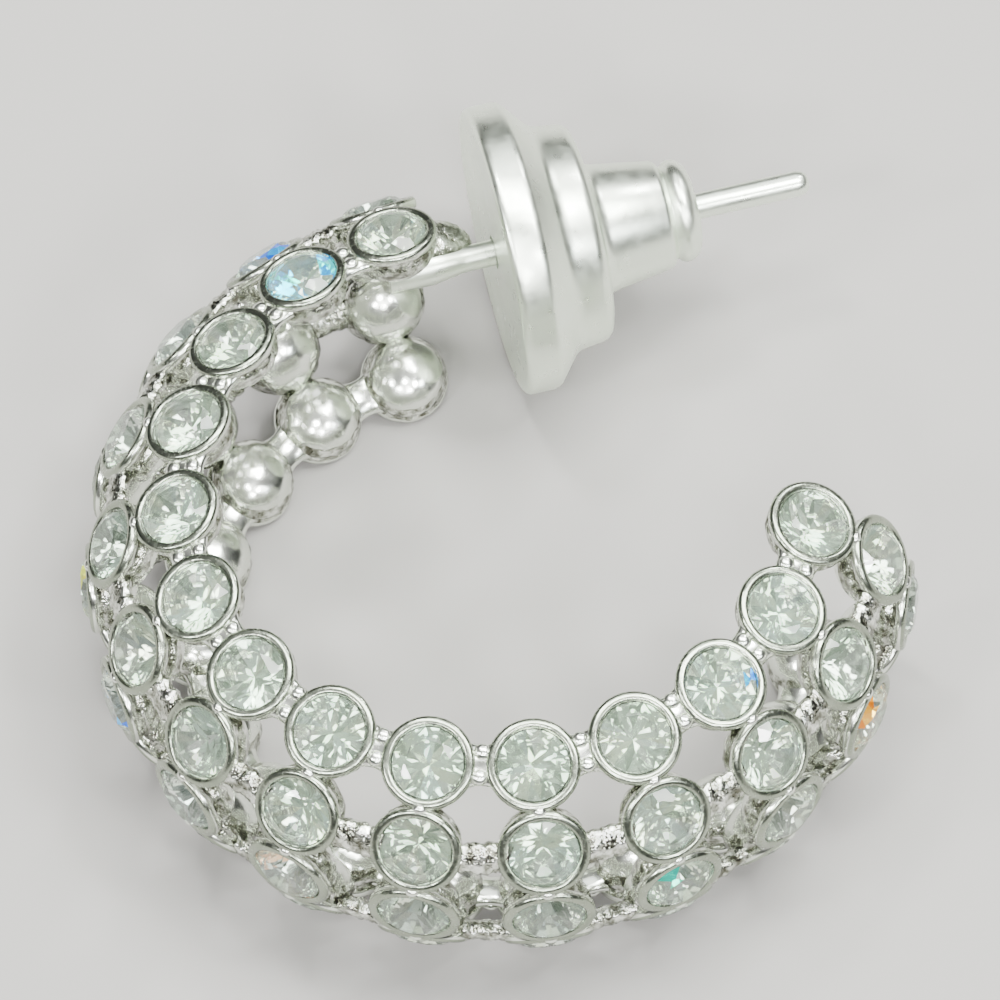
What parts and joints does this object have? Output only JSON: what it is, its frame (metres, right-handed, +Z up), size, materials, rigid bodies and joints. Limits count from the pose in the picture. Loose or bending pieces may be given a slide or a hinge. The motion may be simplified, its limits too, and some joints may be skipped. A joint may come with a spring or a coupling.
{
  "type": "hoop earring",
  "caption": "Open hoop earring of round cups set with clear round stones in rows of arches, with a straight ear post and a disc-fronted bullet ear nut that slides off it.",
  "frame": {"origin": "the middle of the whole part's outline seen from above, on the surface that the hoop lies on", "axes": "+Z up along the hoop's axis; +X and +Y in the hoop's plane, with the post pointing 10.5 degrees from +X towards +Y and the hoop's free end at +X"},
  "size_m": [0.026, 0.0292, 0.0098],
  "materials": {
    "setting_metal": "bright polished white metal plating",
    "nut_metal": "polished white metal plating with a softer sheen",
    "crystal": "clear cut stone with bright facets and small flashes of colour"
  },
  "bodies": {
    "hoop": {"hoop_setting": "setting_metal"},
    "nut": {"ear_nut": "nut_metal"}
  },
  "joints": [
    {"name": "nut_slide", "type": "slide", "parent": "hoop", "child": "nut", "axis": [0.9833, 0.1822, 0], "range_m": [-0.0005, 0.0108]}
  ]
}
